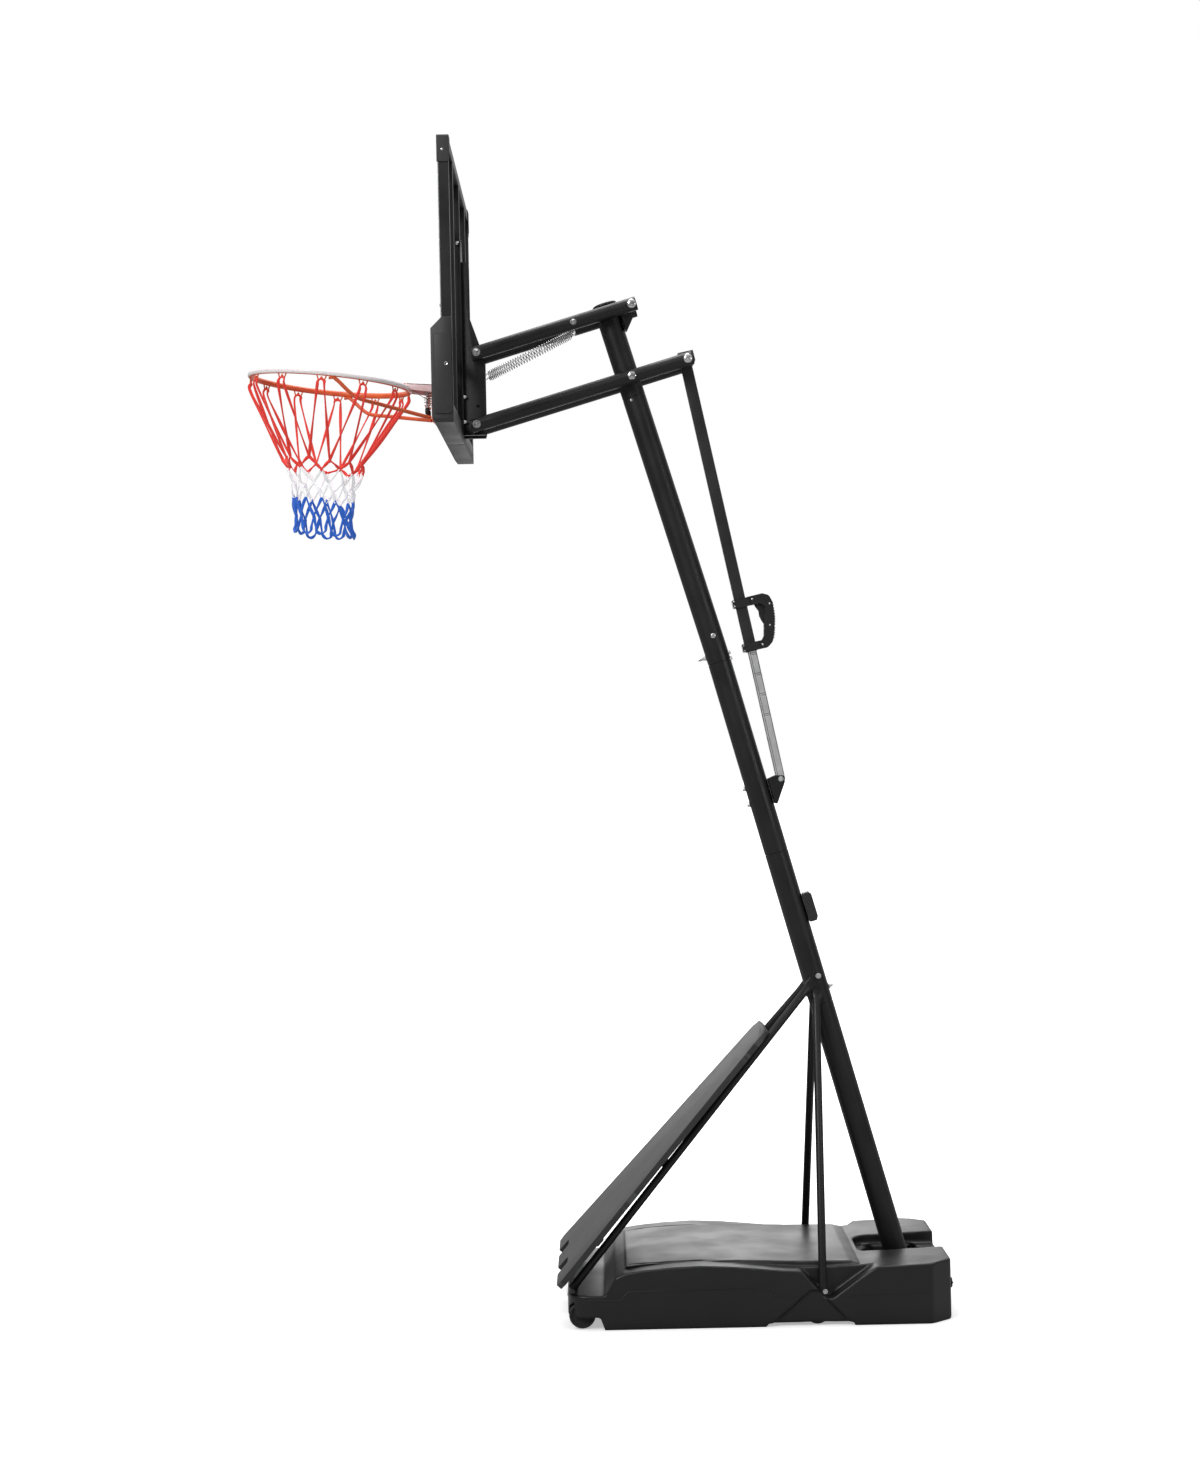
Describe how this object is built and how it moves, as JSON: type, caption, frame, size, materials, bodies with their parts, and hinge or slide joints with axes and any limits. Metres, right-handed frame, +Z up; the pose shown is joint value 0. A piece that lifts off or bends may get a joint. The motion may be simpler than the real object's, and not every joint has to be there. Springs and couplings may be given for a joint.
{
  "type": "portable basketball hoop",
  "caption": "Portable basketball hoop: water-filled wheeled base, leaning pole, spring-assisted parallelogram height adjuster with a trigger handle, framed backboard, breakaway rim and net.",
  "frame": {"origin": "on the floor, at the middle of the base's underside: half-way across, and 0.548 m behind its front edge", "axes": "+Z up, -X towards the players, which is the way the pole leans, and +Y to the right as seen from the rear of the hoop looking forward, with Y = 0 the plane of symmetry"},
  "size_m": [2.0125, 1.15, 3.373],
  "materials": {
    "black_powder_coat": "satin black powder coat",
    "zinc_plate": "bright zinc plate",
    "orange_powder_coat": "satin orange-red powder coat",
    "tank_plastic": "fine-grained black polyethylene",
    "panel_plastic": "dark grey polyethylene",
    "pad_plastic": "black moulded pad",
    "handle_plastic": "black moulded nylon",
    "clear_board": "clear polycarbonate sheet",
    "wheel_rubber": "black",
    "spring_steel": "zinc-plated spring steel",
    "net_cord": "braided cord in three bands of colour",
    "water": "water, inside the tank"
  },
  "bodies": {
    "stand": {"base_tank": "tank_plastic", "ballast_water": "water", "front_axle": "zinc_plate", "rear_axle": "zinc_plate", "pole_foot_section": "black_powder_coat", "pole_lower_section": "black_powder_coat", "pole_middle_section": "black_powder_coat", "pole_upper_section": "black_powder_coat", "pole_head_section": "black_powder_coat", "pole_cap": "tank_plastic", "head_bracket": "black_powder_coat", "adjuster_bracket": "black_powder_coat", "pole_grip_block": "tank_plastic", "strut_bolt": "zinc_plate", "guard_panel": "panel_plastic", "lower_pivot_bolt": "zinc_plate", "upper_pivot_bolt": "zinc_plate", "adjuster_pivot_bolt_left": "zinc_plate", "adjuster_pivot_bolt_right": "zinc_plate", "front_strut_left": "black_powder_coat", "front_strut_right": "black_powder_coat", "rear_strut_left": "black_powder_coat", "rear_strut_right": "black_powder_coat"},
    "front_wheel_left": {"front_wheel_left": "wheel_rubber"},
    "front_wheel_right": {"front_wheel_right": "wheel_rubber"},
    "rear_wheel_left": {"rear_wheel_left": "wheel_rubber"},
    "rear_wheel_right": {"rear_wheel_right": "wheel_rubber"},
    "fill_cap": {"fill_cap": "tank_plastic"},
    "upper_arms": {"upper_arm_left": "black_powder_coat", "upper_arm_right": "black_powder_coat"},
    "lower_arms": {"lower_arm_left": "black_powder_coat", "lower_arm_right": "black_powder_coat", "lower_front_bolt": "zinc_plate", "lever_bolt": "zinc_plate"},
    "board": {"board_bracket": "black_powder_coat", "board_frame": "black_powder_coat", "board_panel": "clear_board", "rim_mount": "black_powder_coat", "rim_pivot_pin": "zinc_plate", "upper_front_bolt": "zinc_plate", "edge_pad_left": "pad_plastic", "edge_pad_right": "pad_plastic", "corner_cap_left": "pad_plastic", "corner_cap_right": "pad_plastic", "lift_spring_left": "spring_steel", "lift_spring_right": "spring_steel"},
    "rim": {"rim_ring": "orange_powder_coat", "rim_plate": "orange_powder_coat", "net": "net_cord", "rim_brace_left": "orange_powder_coat", "rim_brace_right": "orange_powder_coat", "breakaway_spring_left": "spring_steel", "breakaway_spring_right": "spring_steel"},
    "adjuster_tube": {"adjuster_tube": "black_powder_coat", "handle_shell_left": "handle_plastic", "handle_shell_right": "handle_plastic"},
    "adjuster_bar": {"adjuster_bar": "zinc_plate"},
    "trigger": {"trigger": "handle_plastic"},
    "latch_pin": {"latch_pin": "zinc_plate"}
  },
  "joints": [
    {"name": "board_lift", "type": "hinge", "parent": "stand", "child": "upper_arms", "pos_m": [-0.30278, 0, 2.969], "axis": [0, 1, 0], "range_deg": [-23, 36]},
    {"name": "lower_arms_swing", "type": "hinge", "parent": "stand", "child": "lower_arms", "pos_m": [-0.30578, 0, 2.756], "axis": [0, 1, 0], "range_deg": [-23.5, 36.5]},
    {"name": "board_level", "type": "hinge", "parent": "upper_arms", "child": "board", "pos_m": [-0.76384, 0, 2.83549], "axis": [0, 1, 0], "range_deg": [-36.5, 23.5], "deforming": ["lift_spring_left", "lift_spring_right"]},
    {"name": "rim_breakaway", "type": "hinge", "parent": "board", "child": "rim", "pos_m": [-0.888, 0, 2.644], "axis": [0, 1, 0], "range_deg": [-25, 0], "deforming": ["breakaway_spring_left", "breakaway_spring_right"]},
    {"name": "adjuster_swing", "type": "hinge", "parent": "lower_arms", "child": "adjuster_tube", "pos_m": [-0.13961, 0, 2.80412], "axis": [0, 1, 0], "range_deg": [-36.5, 23.5]},
    {"name": "adjuster_telescope", "type": "slide", "parent": "adjuster_tube", "child": "adjuster_bar", "axis": [0.1987, 0, -0.9801], "range_m": [-0.11, 0.07]},
    {"name": "trigger_squeeze", "type": "hinge", "parent": "adjuster_tube", "child": "trigger", "pos_m": [0.0686, 0, 2.07903], "axis": [0, -1, 0], "range_deg": [0, 12]},
    {"name": "latch_slide", "type": "slide", "parent": "adjuster_tube", "child": "latch_pin", "axis": [0.9801, 0, 0.1987], "range_m": [0, 0.0064]},
    {"name": "fill_cap_turn", "type": "hinge", "parent": "stand", "child": "fill_cap", "pos_m": [0.554, -0.262, 0.098], "axis": [1, 0, 0], "continuous": true},
    {"name": "front_wheel_left_spin", "type": "hinge", "parent": "stand", "child": "front_wheel_left", "pos_m": [-0.507, -0.321, 0.04], "axis": [0, 1, 0], "continuous": true},
    {"name": "front_wheel_right_spin", "type": "hinge", "parent": "stand", "child": "front_wheel_right", "pos_m": [-0.507, 0.321, 0.04], "axis": [0, 1, 0], "continuous": true},
    {"name": "rear_wheel_left_spin", "type": "hinge", "parent": "stand", "child": "rear_wheel_left", "pos_m": [0.165, -0.321, 0.04], "axis": [0, 1, 0], "continuous": true},
    {"name": "rear_wheel_right_spin", "type": "hinge", "parent": "stand", "child": "rear_wheel_right", "pos_m": [0.165, 0.321, 0.04], "axis": [0, 1, 0], "continuous": true}
  ],
  "couplings": [
    {"joint": "lower_arms_swing", "follows": "board_lift", "ratio": 1},
    {"joint": "board_level", "follows": "board_lift", "ratio": -1},
    {"joint": "adjuster_swing", "follows": "board_lift", "ratio": -1.004},
    {"joint": "adjuster_telescope", "follows": "board_lift", "m_per_rad": -0.1675},
    {"joint": "latch_slide", "follows": "trigger_squeeze", "m_per_rad": 0.03}
  ]
}
